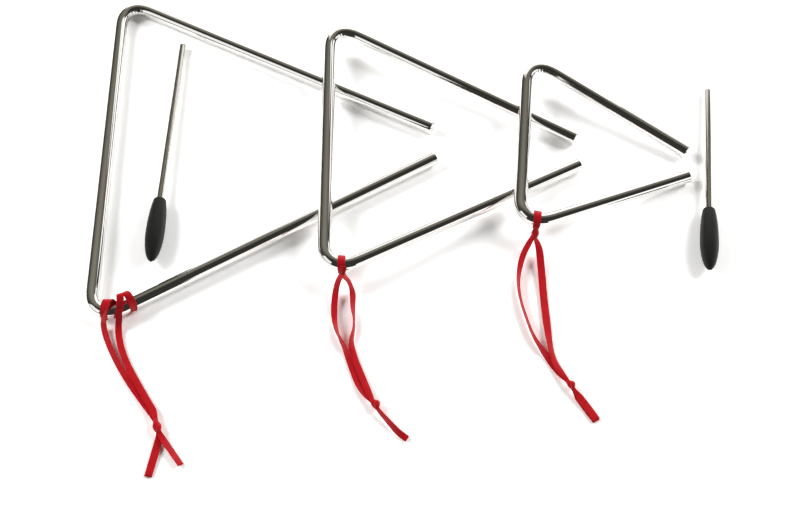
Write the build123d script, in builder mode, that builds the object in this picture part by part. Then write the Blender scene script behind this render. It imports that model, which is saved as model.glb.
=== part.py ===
from build123d import *
import os
from math import asin, cos, degrees, pi, radians, sin, sqrt, tan

os.makedirs("parts", exist_ok=True)

# A set of three graduated triangles laid out on a table, each with its ribbon, and two beaters.
# Millimetres. The table is z = 0, +Z is up, +X runs from the large triangle to the short beater.

# Rod of the triangles: one stock size, bent round one former
ROD_D = 6.5
BEND_R = 9.0
END_CHAMFER = 0.5

# Outside length of each closed side, and the distance between the centres of the two arm ends
LARGE_SIDE = 196.66
LARGE_MOUTH = 19.0
MEDIUM_SIDE = 152.66
MEDIUM_MOUTH = 16.5
SMALL_SIDE = 103.26
SMALL_MOUTH = 15.0

# Beaters: a steel shaft pressed into a moulded rubber grip. The long one plays inside the large triangle,
# so its length is that triangle's closed side less the room that it needs to be swung.
SHAFT_D = 3.5
TIP_CHAMFER = 0.3
LONG_BEATER_ROOM = 58.06
LONG_BEATER = LARGE_SIDE - LONG_BEATER_ROOM
SHORT_BEATER = 114.8
GRIP_D = 8.8
GRIP_NOSE = 16.5
GRIP_SHOULDER = 19.5
GRIP_NECK_D = 5.8
GRIP_NECK_ROUND = 1.0
SHAFT_IN_GRIP = 29.0

# Satin ribbon, flat in its free stretches and gathered narrow where it is drawn round a rod
RIBBON_W = 3.0
RIBBON_T = 0.3
GATHER_W = 1.7
GATHER_T = 0.7
GATHER_PITCH = 2.2
HITCH_CLEAR = 0.72
WRAP_CLEAR = 0.1
NECK_SEAT = 0.65
NECK_R = 1.6
NECK_WAIST_R = 1.2
NECK_TURN = -45.0
ARC_SHARE = 0.45

# Knots in the doubled ribbon
KNOT_LENGTH = 5.8
KNOT_END_R = 1.75
KNOT_R = 1.95
KNOT_Z = 2.0

# How the set lies: the medium triangle rests on the large one and the small one on the medium one
REST_GAP = 0.3
LARGE_AT = (-150.6, 0.0)
MEDIUM_SETBACK = 69.2
MEDIUM_ASIDE = -2.8
MEDIUM_TURN = -1.9
SMALL_SETBACK = 41.9
SMALL_ASIDE = 2.5
SMALL_TURN = -7.8

# The long beater's middle from the middle of the large triangle's closed side, and the short beater's
# nose from the small triangle's open corner
LONG_BEATER_IN = 29.01
LONG_BEATER_ASIDE = 0.5
LONG_BEATER_TURN = 87.0
SHORT_BEATER_SETBACK = 14.03
SHORT_BEATER_ASIDE = -62.12
SHORT_BEATER_TURN = 79.8

# Where each hitch sits, as a length of rod from the lowest point of the lower bend. Turns are degrees
# round the rod, with 0 at the outside of the frame and 90 on top.
LARGE_HITCH = -0.1
PIVOT_REACH = 0.6
LARGE_WRAP_FROM = -1.8
LARGE_WRAP_TO = 9.6
LARGE_BIGHT_TOP = 5.2
LARGE_BIGHT_FOOT = 2.9
LARGE_WRAP_TURNS = (12.0, 438.0)
LARGE_CROSSING_TURNS = (90.0, 330.0)
LARGE_BIGHT_TURNS = (12.0, 120.0)
MEDIUM_HITCH = -0.9
MEDIUM_NECK_FOOT = (0.1, -5.0, -4.5)
SMALL_HITCH = -1.0
SMALL_NECK_FOOT = (-1.5, -6.0, -5.2)
DRAWN_TURNS = (-36.0, 396.0)

ROD_R = ROD_D / 2
HALF_CORNER = radians(30)
TURN_STEP = 15.0


def sharp_side(side):
    """Side of the centreline triangle with its corners run out to points."""
    return side - ROD_D + 2 * BEND_R * (tan(pi / 3) - 1)


def frame_height(side):
    """Distance from the closed side to the open corner, measured on that sharp triangle."""
    return sharp_side(side) * cos(HALF_CORNER)


def leaning_plane(at, side, stand):
    """Plane of a triangle that lies flat but for its lower corner, which stands on the ribbon under it."""
    lean = asin(stand / (side - ROD_D))
    normal = (0, sin(lean), cos(lean))
    return Plane(origin=(at[0], at[1], ROD_R + stand / 2), x_dir=(1, 0, 0), z_dir=normal)


def tilted_plane(at, turn, closed_z, side, mouth):
    """Plane of a triangle whose closed side is at closed_z and whose arm ends lie on the table."""
    reach = frame_height(side) - mouth * cos(HALF_CORNER)
    dip = asin((closed_z - ROD_R) / reach)
    heading = radians(turn)
    along = (cos(heading) * cos(dip), sin(heading) * cos(dip), -sin(dip))
    normal = (cos(heading) * sin(dip), sin(heading) * sin(dip), cos(dip))
    return Plane(origin=(at[0], at[1], closed_z), x_dir=along, z_dir=normal)


def height_on(plane, x, y):
    """Height of a plane above the table at a place on the table."""
    n = plane.z_dir
    o = plane.origin
    return o.Z - (n.X * (x - o.X) + n.Y * (y - o.Y)) / n.Z


# Planes of the three triangles, from what each one rests on
large_plane = leaning_plane(LARGE_AT, LARGE_SIDE, WRAP_CLEAR + RIBBON_T)

medium_at = (LARGE_AT[0] + frame_height(LARGE_SIDE) - MEDIUM_SETBACK, LARGE_AT[1] + MEDIUM_ASIDE)
medium_plane = tilted_plane(medium_at, MEDIUM_TURN, 3 * ROD_R + REST_GAP, MEDIUM_SIDE, MEDIUM_MOUTH)

medium_apex = medium_plane.from_local_coords(Vector(frame_height(MEDIUM_SIDE), 0, 0))
small_at = (medium_apex.X - SMALL_SETBACK, medium_apex.Y + SMALL_ASIDE)
small_z = height_on(medium_plane, *small_at) + ROD_D + REST_GAP
small_plane = tilted_plane(small_at, SMALL_TURN, small_z, SMALL_SIDE, SMALL_MOUTH)
small_apex = small_plane.from_local_coords(Vector(frame_height(SMALL_SIDE), 0, 0))


def write(piece, label):
    """Name a finished piece and write it to its own file."""
    piece.label = label
    export_step(piece, f"parts/{label}.step")


def bent_rod(plane, side, mouth):
    """One round rod with two bends of 120 degrees, cut square and chamfered at its open corner."""
    sharp = sharp_side(side)
    end_x = frame_height(side) - mouth * cos(HALF_CORNER)
    with BuildPart() as rod:
        with BuildLine(plane) as spine:
            FilletPolyline(
                (end_x, mouth / 2), (0, sharp / 2), (0, -sharp / 2), (end_x, -mouth / 2), radius=BEND_R
            )
        with BuildSketch(Plane(origin=spine.line @ 0, z_dir=spine.line % 0)):
            Circle(ROD_R)
        sweep()
        chamfer(rod.faces().filter_by(GeomType.PLANE).edges(), END_CHAMFER)
    return rod.part


def bend_frame(plane, side, along):
    """Rod centre, direction along the rod and direction out of the frame, by length along the bend."""
    bend_end = BEND_R * HALF_CORNER
    angle = min(along, bend_end) / BEND_R
    run = max(0.0, along - bend_end)
    centre_y = -sharp_side(side) / 2 + BEND_R * tan(pi / 3)
    x = BEND_R + BEND_R * sin(angle) + run * cos(angle)
    y = centre_y - BEND_R * cos(angle) + run * sin(angle)
    ahead = plane.x_dir * cos(angle) + plane.y_dir * sin(angle)
    outward = plane.x_dir * sin(angle) - plane.y_dir * cos(angle)
    return plane.from_local_coords(Vector(x, y, 0)), ahead, outward


def wrap_place(plane, side, along, turn, radius):
    """A point round the rod, with turn 0 at the outside of the frame and 90 on top."""
    centre, ahead, outward = bend_frame(plane, side, along)
    lift = plane.z_dir
    return centre + outward * (radius * cos(radians(turn))) + lift * (radius * sin(radians(turn)))


def wrapped_band(plane, side, along_at, turns, clear, width, thickness):
    """Ribbon drawn round the rod: flat sections placed every few degrees and joined in one strip."""
    radius = ROD_R + clear + thickness / 2
    turn_from, turn_to = turns
    steps = round((turn_to - turn_from) / TURN_STEP)
    step = (turn_to - turn_from) / steps
    with BuildPart() as band:
        for k in range(steps + 1):
            turn = turn_from + k * step
            place = wrap_place(plane, side, along_at(turn), turn, radius)
            ahead_of = wrap_place(plane, side, along_at(turn + 1), turn + 1, radius)
            behind = wrap_place(plane, side, along_at(turn - 1), turn - 1, radius)
            heading = (ahead_of - behind).normalized()
            rod_way = bend_frame(plane, side, along_at(turn))[1]
            across = (rod_way - heading * rod_way.dot(heading)).normalized()
            with BuildSketch(Plane(origin=place, x_dir=across, z_dir=heading)):
                Rectangle(width, thickness)
        loft(ruled=True)
    return band.part


def route_radii(points):
    """Tangent arc at each corner of a route, which takes a set share of the shorter run beside it."""
    radii = []
    for before, here, after in zip(points, points[1:], points[2:]):
        run_in = Vector(*here) - Vector(*before)
        run_out = Vector(*after) - Vector(*here)
        half_turn = radians(run_in.get_angle(run_out)) / 2
        radii.append(ARC_SHARE * min(run_in.length, run_out.length) / tan(half_turn))
    return radii


def ribbon_strip(label, at, route):
    """Flat ribbon along straight runs and tangent arcs; route is x, y from the hitch and z off the table."""
    points = [(at.X + x, at.Y + y, z) for x, y, z in route]
    radii = route_radii(points)
    with BuildPart() as strip:
        with BuildLine() as spine:
            FilletPolyline(*points, radius=radii)
        way = spine.line % 0
        level = Vector(way.Y, -way.X, 0).normalized()
        with BuildSketch(Plane(origin=spine.line @ 0, x_dir=level, z_dir=way)):
            Rectangle(RIBBON_W, RIBBON_T)
        sweep()
    length = sum(edge.length for edge in spine.edges())
    share = strip.part.volume / (RIBBON_W * RIBBON_T * length)
    print(f"{label}: length {length:.1f}, least radius {min(radii):.1f}, volume share {share:.3f}")
    write(strip.part, label)


def tied_knot(label, at, middle, heading):
    """Overhand knot drawn tight: a plump barrel with flat ends that the ribbon runs into."""
    way = Vector(*heading, 0).normalized()
    start = Vector(at.X + middle[0], at.Y + middle[1], KNOT_Z) - way * (KNOT_LENGTH / 2)
    with BuildPart() as knot:
        with BuildSketch(Plane(origin=start, x_dir=way, z_dir=way.cross(Vector(0, 0, 1)))):
            with BuildLine():
                Polyline((0, KNOT_END_R), (0, 0), (KNOT_LENGTH, 0), (KNOT_LENGTH, KNOT_END_R))
                ThreePointArc((0, KNOT_END_R), (KNOT_LENGTH / 2, KNOT_R), (KNOT_LENGTH, KNOT_END_R))
            make_face()
        revolve(axis=Axis(start, way))
    write(knot.part, label)


def drawn_neck(label, start, end):
    """Where both strands pass through the drawn hitch: a short plump roll of gathered ribbon."""
    way = (end - start).normalized()
    length = (end - start).length
    side_way = way.cross(Vector(0, 0, 1)).normalized()
    with BuildPart() as neck:
        with BuildSketch(Plane(origin=start, x_dir=way, z_dir=side_way)):
            with BuildLine():
                Polyline((0, NECK_WAIST_R), (0, 0), (length, 0), (length, NECK_WAIST_R))
                ThreePointArc((0, NECK_WAIST_R), (length / 2, NECK_R), (length, NECK_WAIST_R))
            make_face()
        revolve(axis=Axis(start, way))
    write(neck.part, label)


def grip_shoulder_ellipse():
    """Half length of the shoulder's ellipse, and the angle on it where the neck cuts it off."""
    neck_angle = asin(GRIP_NECK_D / GRIP_D)
    return GRIP_SHOULDER / cos(neck_angle), degrees(neck_angle)


def beater_plane(at, turn, length):
    """Plane on a beater's axis: x from the grip's nose to the tip, lying on the table at both."""
    drop = asin((GRIP_D - SHAFT_D) / 2 / (length - GRIP_NOSE))
    heading = radians(turn)
    along = Vector(cos(heading) * cos(drop), sin(heading) * cos(drop), -sin(drop))
    sideways = Vector(-sin(heading), cos(heading), 0)
    swell_z = sqrt((GRIP_D / 2 * cos(drop)) ** 2 + (grip_shoulder_ellipse()[0] * sin(drop)) ** 2)
    nose_z = swell_z + GRIP_NOSE * sin(drop)
    return Plane(origin=(at[0], at[1], nose_z), x_dir=along, z_dir=along.cross(sideways))


def beater_shaft(plane, length):
    """Straight round bar from its seat in the grip to the striking tip."""
    seat = GRIP_NOSE + GRIP_SHOULDER - SHAFT_IN_GRIP
    tip_plane = Plane(origin=plane.from_local_coords(Vector(seat, 0, 0)), z_dir=plane.x_dir)
    with BuildPart() as shaft:
        with BuildSketch(tip_plane):
            Circle(SHAFT_D / 2)
        extrude(amount=length - seat)
        chamfer(shaft.faces().filter_by(GeomType.PLANE).edges(), TIP_CHAMFER)
    return shaft.part


def rubber_grip(plane):
    """Turned bullet form: half an ellipse to the nose, a flatter one to the neck, bored for the shaft."""
    mouth = GRIP_NOSE + GRIP_SHOULDER
    seat = mouth - SHAFT_IN_GRIP
    neck = GRIP_NECK_D / 2
    swell = GRIP_D / 2
    shoulder_reach, neck_angle = grip_shoulder_ellipse()
    bore = SHAFT_D / 2
    with BuildPart() as grip:
        with BuildSketch(plane):
            with BuildLine():
                Polyline((mouth, neck), (mouth, bore), (seat, bore), (seat, 0), (0, 0))
                EllipticalCenterArc((GRIP_NOSE, 0), GRIP_NOSE, swell, 90, arc_size=90)
                EllipticalCenterArc(
                    (GRIP_NOSE, 0), shoulder_reach, swell, neck_angle, arc_size=90 - neck_angle
                )
            make_face()
        revolve(axis=Axis(plane.origin, plane.x_dir))
        rim = grip.edges().filter_by(GeomType.CIRCLE).group_by(SortBy.RADIUS)[-2]
        fillet(rim, GRIP_NECK_ROUND)
    return grip.part


# Triangles
write(bent_rod(large_plane, LARGE_SIDE, LARGE_MOUTH), "large_rod")
write(bent_rod(medium_plane, MEDIUM_SIDE, MEDIUM_MOUTH), "medium_rod")
write(bent_rod(small_plane, SMALL_SIDE, SMALL_MOUTH), "small_rod")

# Beaters, each placed by its grip's nose
long_half = LONG_BEATER / 2
long_beater_at = (
    LARGE_AT[0] + LONG_BEATER_IN - long_half * cos(radians(LONG_BEATER_TURN)),
    LARGE_AT[1] + LONG_BEATER_ASIDE - long_half * sin(radians(LONG_BEATER_TURN)),
)
short_beater_at = (small_apex.X - SHORT_BEATER_SETBACK, small_apex.Y + SHORT_BEATER_ASIDE)
for name, at, turn, length in (
    ("long_beater", long_beater_at, LONG_BEATER_TURN, LONG_BEATER),
    ("short_beater", short_beater_at, SHORT_BEATER_TURN, SHORT_BEATER),
):
    axis_plane = beater_plane(at, turn, length)
    write(beater_shaft(axis_plane, length), f"{name}_shaft")
    write(rubber_grip(axis_plane), f"{name}_grip")


# Large ribbon: a loose hitch of a turn and a bit beside the lower bend, then two strands to a knot
def large_wrap_along(turn):
    """The wrap starts beside the bend and crosses behind the rod to come up again on the arm."""
    leave, arrive = LARGE_CROSSING_TURNS
    crossing = min(max((turn - leave) / (arrive - leave), 0), 1)
    return LARGE_WRAP_FROM + (LARGE_WRAP_TO - LARGE_WRAP_FROM) * crossing


def large_bight_along(turn):
    """The bight slants down the front of the rod."""
    return LARGE_BIGHT_FOOT + (LARGE_BIGHT_TOP - LARGE_BIGHT_FOOT) * turn / 90


for name, along_at, turns in (
    ("wrap", large_wrap_along, LARGE_WRAP_TURNS),
    ("bight", large_bight_along, LARGE_BIGHT_TURNS),
):
    band = wrapped_band(large_plane, LARGE_SIDE, along_at, turns, WRAP_CLEAR, RIBBON_W, RIBBON_T)
    write(band, f"large_ribbon_{name}")

large_pivot = wrap_place(large_plane, LARGE_SIDE, LARGE_HITCH, 0, ROD_R + PIVOT_REACH)
ribbon_strip(
    "large_ribbon_left_strand",
    large_pivot,
    [
        (-3.0, 0.9, 3.5),
        (-3.1, -1.6, 1.2),
        (-1.6, -5.5, 0.35),
        (2.0, -14.7, 0.35),
        (7.0, -24.4, 0.35),
        (11.9, -32.3, 0.35),
        (16.9, -39.7, 0.35),
        (20.8, -45.9, 0.8),
        (23.0, -49.6, 1.5),
    ],
)
ribbon_strip(
    "large_ribbon_right_strand",
    large_pivot,
    [
        (3.7, 0.2, 3.5),
        (3.7, -2.4, 1.6),
        (4.1, -6.2, 0.7),
        (5.8, -13.8, 0.95),
        (9.7, -23.0, 1.1),
        (14.1, -31.1, 1.15),
        (19.3, -40.5, 1.15),
        (22.1, -45.6, 1.85),
        (23.1, -49.6, 2.5),
    ],
)
tied_knot("large_ribbon_knot", large_pivot, (24.1, -52.8), (0.29, -0.957))
ribbon_strip(
    "large_ribbon_left_tail",
    large_pivot,
    [(25.0, -56.1, 1.5), (24.9, -59.6, 0.7), (23.8, -65.4, 0.35), (22.0, -74.0, 0.35)],
)
ribbon_strip(
    "large_ribbon_right_tail",
    large_pivot,
    [(25.2, -56.2, 2.5), (27.6, -59.5, 1.3), (31.1, -64.5, 0.35), (34.8, -70.7, 0.35)],
)


def drawn_hitch(label, plane, side, hitch):
    """A hitch drawn tight: the gathered ribbon goes once round the rod and a little over."""

    def along_at(turn):
        return hitch + GATHER_PITCH * (turn - 180) / 360

    write(wrapped_band(plane, side, along_at, DRAWN_TURNS, HITCH_CLEAR, GATHER_W, GATHER_T), label)


neck_reach = ROD_R + HITCH_CLEAR + GATHER_T + NECK_SEAT

# Medium ribbon: drawn tight on the lower bend, which stands clear of the table
drawn_hitch("medium_ribbon_wrap", medium_plane, MEDIUM_SIDE, MEDIUM_HITCH)
medium_hitch = bend_frame(medium_plane, MEDIUM_SIDE, MEDIUM_HITCH)[0]
medium_neck_top = wrap_place(medium_plane, MEDIUM_SIDE, MEDIUM_HITCH, NECK_TURN, neck_reach)
medium_neck_foot = medium_hitch + Vector(*MEDIUM_NECK_FOOT)
drawn_neck("medium_ribbon_neck", medium_neck_top, medium_neck_foot)
ribbon_strip(
    "medium_ribbon_left_strand",
    medium_hitch,
    [
        (-1.0, -5.8, 4.0),
        (-2.4, -8.0, 3.0),
        (-3.3, -12.6, 2.0),
        (-3.7, -19.0, 0.8),
        (-3.4, -26.9, 0.35),
        (-2.1, -33.0, 0.35),
        (-0.3, -38.2, 0.35),
        (2.9, -47.6, 0.35),
        (6.2, -56.2, 0.35),
        (9.2, -62.0, 0.8),
        (11.3, -65.2, 1.5),
    ],
)
ribbon_strip(
    "medium_ribbon_right_strand",
    medium_hitch,
    [
        (1.1, -5.5, 5.5),
        (3.4, -7.4, 4.2),
        (4.8, -11.4, 2.0),
        (4.3, -18.0, 0.9),
        (5.1, -25.6, 0.6),
        (4.4, -30.6, 0.6),
        (3.1, -35.2, 0.95),
        (3.7, -41.0, 0.95),
        (5.5, -47.4, 0.95),
        (8.5, -56.0, 0.95),
        (10.1, -61.7, 1.75),
        (11.1, -65.0, 2.5),
    ],
)
tied_knot("medium_ribbon_knot", medium_hitch, (12.7, -67.9), (0.468, -0.884))
ribbon_strip(
    "medium_ribbon_left_tail",
    medium_hitch,
    [(14.1, -70.6, 1.5), (16.7, -74.2, 0.6), (19.5, -77.9, 0.35), (22.5, -81.8, 0.35), (26.0, -84.4, 0.35)],
)
ribbon_strip(
    "medium_ribbon_right_tail",
    medium_hitch,
    [(14.3, -70.9, 2.5), (16.9, -74.2, 1.3), (19.7, -77.8, 0.95), (22.7, -81.6, 0.95), (26.1, -84.1, 0.95)],
)

# Small ribbon: drawn tight like the medium one, with a longer twisted neck
drawn_hitch("small_ribbon_wrap", small_plane, SMALL_SIDE, SMALL_HITCH)
small_hitch = bend_frame(small_plane, SMALL_SIDE, SMALL_HITCH)[0]
small_neck_top = wrap_place(small_plane, SMALL_SIDE, SMALL_HITCH, NECK_TURN, neck_reach)
small_neck_foot = small_hitch + Vector(*SMALL_NECK_FOOT)
drawn_neck("small_ribbon_neck", small_neck_top, small_neck_foot)
ribbon_strip(
    "small_ribbon_left_strand",
    small_hitch,
    [
        (-2.8, -6.8, 4.9),
        (-5.3, -10.1, 4.1),
        (-7.8, -14.8, 3.0),
        (-9.8, -21.2, 1.8),
        (-11.1, -29.6, 0.8),
        (-10.8, -39.1, 0.35),
        (-9.1, -47.4, 0.35),
        (-7.2, -56.6, 0.35),
        (-4.6, -62.8, 0.35),
        (-1.8, -68.0, 0.35),
        (0.8, -72.8, 0.35),
        (3.2, -77.3, 0.8),
        (5.4, -80.4, 1.5),
    ],
)
ribbon_strip(
    "small_ribbon_right_strand",
    small_hitch,
    [
        (-0.9, -6.7, 5.9),
        (0.5, -10.0, 4.7),
        (0.9, -14.8, 3.0),
        (1.1, -23.2, 1.2),
        (0.7, -36.1, 0.35),
        (0.5, -49.8, 0.35),
        (0.8, -59.8, 0.5),
        (1.1, -66.2, 0.95),
        (1.9, -71.8, 0.95),
        (3.5, -76.8, 1.75),
        (5.4, -80.4, 2.5),
    ],
)
tied_knot("small_ribbon_knot", small_hitch, (6.9, -83.1), (0.49, -0.87))
ribbon_strip(
    "small_ribbon_left_tail",
    small_hitch,
    [(8.4, -85.7, 1.5), (10.2, -88.8, 0.6), (12.5, -92.8, 0.35), (14.2, -96.2, 0.35), (16.1, -99.8, 0.35)],
)
ribbon_strip(
    "small_ribbon_right_tail",
    small_hitch,
    [(8.6, -86.0, 2.5), (10.4, -88.7, 1.3), (12.7, -92.7, 0.95), (14.4, -96.1, 0.95), (16.2, -99.5, 0.95)],
)
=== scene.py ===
from math import asin, cos, pi, radians, sin, sqrt, tan

import bpy
import numpy as np
from mathutils import Matrix, Vector


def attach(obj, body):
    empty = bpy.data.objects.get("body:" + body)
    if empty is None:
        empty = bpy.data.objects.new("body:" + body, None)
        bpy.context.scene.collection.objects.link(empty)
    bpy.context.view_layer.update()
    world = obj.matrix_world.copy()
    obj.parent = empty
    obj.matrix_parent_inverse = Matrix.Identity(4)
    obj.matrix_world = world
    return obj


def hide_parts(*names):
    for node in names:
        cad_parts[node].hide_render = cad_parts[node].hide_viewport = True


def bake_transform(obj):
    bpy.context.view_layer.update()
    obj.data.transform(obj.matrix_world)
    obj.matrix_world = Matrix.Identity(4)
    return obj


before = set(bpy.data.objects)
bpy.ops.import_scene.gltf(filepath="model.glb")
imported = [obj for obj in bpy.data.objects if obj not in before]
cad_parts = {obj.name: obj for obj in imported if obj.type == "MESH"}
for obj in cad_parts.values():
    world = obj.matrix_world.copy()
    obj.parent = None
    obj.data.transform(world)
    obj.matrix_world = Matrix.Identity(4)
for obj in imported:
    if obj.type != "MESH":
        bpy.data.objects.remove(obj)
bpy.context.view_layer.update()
scene = bpy.context.scene
scene.view_settings.view_transform = "Standard"
MM = 0.001

# Camera: a short telephoto on a stand, looking down on the table from the ribbons' side, a little
# rolled. Place and angles come from fitting the rods' edges in an 800 by 513 picture.
CAMERA_AT = (-0.04102, -0.40995, 0.49386)
CAMERA_AZIMUTH = -5.02
CAMERA_ELEVATION = 55.0
CAMERA_ROLL = 2.97
PICTURE_WIDTH = 800
FOCAL_PIXELS = 1292.77
SENSOR_MM = 36.0

az, el, roll = (radians(a) for a in (CAMERA_AZIMUTH, CAMERA_ELEVATION, CAMERA_ROLL))
back = np.array((sin(az) * cos(el), -cos(az) * cos(el), sin(el)))
level = np.array((cos(az), sin(az), 0.0))
upright = np.cross(back, level)
right = cos(roll) * level + sin(roll) * upright
upward = -sin(roll) * level + cos(roll) * upright
camera_data = bpy.data.cameras.new("camera")
camera_data.sensor_width = SENSOR_MM
camera_data.lens = SENSOR_MM * FOCAL_PIXELS / PICTURE_WIDTH
camera_data.clip_start = 0.01
camera = bpy.data.objects.new("camera", camera_data)
camera.matrix_world = Matrix(
    [[right[k], upward[k], back[k], CAMERA_AT[k]] for k in range(3)] + [[0, 0, 0, 1]]
)
scene.collection.objects.link(camera)
scene.camera = camera


# Triangles: each one is a single steel rod, cold bent twice round a former, cut square at the open corner
# and chromed. The former leaves the inside of each bend pinched and finely wrinkled. The ends are eased
# by a rounding that is given as runs from the end and drops from the full radius.
ROD_R = 3.25
BEND_R = 9.0
BEND_TURN = radians(120)
CORNER = radians(30)
END_ROUND = 0.5
END_RUN = np.array((0.0, 0.0, 0.04, 0.16, 0.34, 0.46, 0.5, 0.7))
END_DROP = END_ROUND * np.array((3.0, 1.04, 0.9, 0.68, 0.32, 0.1, 0.02, 0.0))
END_KEPT_CLEAR = 1.0
RING_POINTS = 72
LINE_POINTS = 20001
BEND_SAMPLES = 2000
STRAIGHT_STEP = 3.0
BEND_STEP = 0.3
WRINKLE_PITCH = 2.3
FINE_WRINKLE_PITCH = WRINKLE_PITCH * 0.61
WRINKLE = 0.16
PINCH = 0.24
OUTSIDE_FLAT = 0.05
CHROME = (0.83, 0.82, 0.8, 1)


def unit(v):
    """Each row of v divided by its length."""
    return v / np.linalg.norm(v, axis=-1, keepdims=True)


def node(tree, kind, **values):
    """A shader node with its attributes set, and its named input sockets given their values."""
    made = tree.nodes.new(kind)
    for key, value in values.items():
        if key in made.inputs:
            made.inputs[key].default_value = value
        else:
            setattr(made, key, value)
    return made


def new_material(name):
    """A material with nodes, and its Principled shader."""
    made = bpy.data.materials.new(name)
    made.use_nodes = True
    return made, made.node_tree, made.node_tree.nodes["Principled BSDF"]


def grid_mesh(name, points, uv, material):
    """A mesh from rings of points in millimetres, shape (rings, around, 3): each ring joins its neighbour,
    every ring closes on itself, and both end rings are filled by a fan."""
    rings, around, _ = points.shape
    index = np.arange(rings * around).reshape(rings, around)
    ahead = np.roll(index, -1, axis=1)
    quads = np.stack([index[:-1], ahead[:-1], ahead[1:], index[1:]], axis=-1).reshape(-1, 4)
    first = rings * around
    start_fan = np.stack([np.full(around, first), ahead[0], index[0]], axis=-1)
    end_fan = np.stack([np.full(around, first + 1), index[-1], ahead[-1]], axis=-1)
    middles = points[[0, -1]].mean(axis=1)
    vertices = np.concatenate([points.reshape(-1, 3), middles]) * MM
    mesh = bpy.data.meshes.new(name)
    mesh.from_pydata(vertices.tolist(), [], quads.tolist() + start_fan.tolist() + end_fan.tolist())
    layer = mesh.uv_layers.new(name="UVMap")
    flat = np.concatenate([uv.reshape(-1, 2), uv[[0, -1]].mean(axis=1)])
    corner = np.zeros(len(mesh.loops), dtype=np.int32)
    mesh.loops.foreach_get("vertex_index", corner)
    layer.data.foreach_set("uv", flat[corner].astype(np.float32).ravel())
    mesh.polygons.foreach_set("use_smooth", np.ones(len(mesh.polygons), dtype=bool))
    mesh.materials.append(material)
    mesh.update()
    made = bpy.data.objects.new(name, mesh)
    scene.collection.objects.link(made)
    return made


def eased(share):
    """The share of a bend's turn that is done at a share of its length. Bar drawn round a former takes up
    its curve and loses it gradually, so the curve grows as a raised cosine to the bend's middle."""
    return share - np.sin(2 * pi * share) / (2 * pi)


# The bend keeps the tangent lines of a plain arc of BEND_R, and its middle lies where the arc's does, which
# for this turn is BEND_R from the sharp corner. Its chord is as long as each tangent line up to the corner.
bend_tilt = BEND_TURN * (eased((np.arange(BEND_SAMPLES) + 0.5) / BEND_SAMPLES) - 0.5)
bend_chord = np.cos(bend_tilt).mean()
bend_sag = np.abs(np.sin(bend_tilt)).mean() / 2
BEND_LENGTH = BEND_R / (bend_chord / 2 * tan(BEND_TURN / 2) - bend_sag)
CORNER_RUN = bend_chord * BEND_LENGTH


class Triangle:
    """Where one triangle lies: its sizes, and the plane of its rod's centreline. The plane's x runs from
    the closed side to the open corner, and dips by the angle that brings the arm ends to the table."""

    def __init__(self, side, mouth, origin, turn, lean):
        self.sharp = side - 2 * ROD_R + 2 * BEND_R * (tan(pi / 3) - 1)
        self.mouth = mouth
        self.origin = np.array(origin)
        self.end_x = (self.sharp - mouth) * cos(CORNER)
        dip = asin((origin[2] - ROD_R) / self.end_x) if lean == 0 else 0.0
        heading = radians(turn)
        self.x = np.array((cos(heading) * cos(dip), sin(heading) * cos(dip), -sin(dip)))
        level_z = (cos(heading) * sin(dip), sin(heading) * sin(dip), cos(dip))
        self.z = np.array((0.0, sin(lean), cos(lean))) if lean else np.array(level_z)
        self.y = np.cross(self.z, self.x)

    def centreline(self):
        """The rod's line in the triangle's plane: straight, bend, straight, bend, straight. Gives the marks
        where these end, then run, x, y and heading at fine steps."""
        arm = self.sharp - self.mouth - CORNER_RUN
        marks = np.cumsum([0.0, arm, BEND_LENGTH, self.sharp - 2 * CORNER_RUN, BEND_LENGTH, arm])
        run = np.linspace(0, marks[-1], LINE_POINTS)
        turned = sum(eased(np.clip((run - start) / BEND_LENGTH, 0, 1)) for start in marks[[1, 3]])
        heading = pi - CORNER + BEND_TURN * turned
        middle = (heading[1:] + heading[:-1]) / 2
        step = np.diff(run)
        x = self.end_x + np.concatenate([[0], np.cumsum(np.cos(middle) * step)])
        y = self.mouth / 2 + np.concatenate([[0], np.cumsum(np.sin(middle) * step)])
        return marks, run, x, y, heading

    def world(self, x, y, z):
        """Arrays of places in the triangle's own plane, as places in the frame."""
        own = (np.asarray(c)[..., None] for c in (x, y, z))
        return self.origin + sum(c * way for c, way in zip(own, (self.x, self.y, self.z)))


# Each triangle by its closed side over the rod, its open corner's width, the middle of its closed side, and
# the way that it is turned. The ribbon under the large one's lower bend raises that side by WRAP_STAND.
WRAP_STAND = 0.4
LARGE_SIDE = 196.66
LARGE_LEAN = asin(WRAP_STAND / (LARGE_SIDE - 2 * ROD_R))
TRIANGLES = {
    "large": Triangle(LARGE_SIDE, 19.0, (-150.6, 0.0, 3.45), 0.0, LARGE_LEAN),
    "medium": Triangle(152.66, 16.5, (-43.705, -2.8, 10.05), -1.9, 0.0),
    "small": Triangle(103.26, 15.0, (52.101, -4.868, 11.575), -7.8, 0.0),
}


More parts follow.
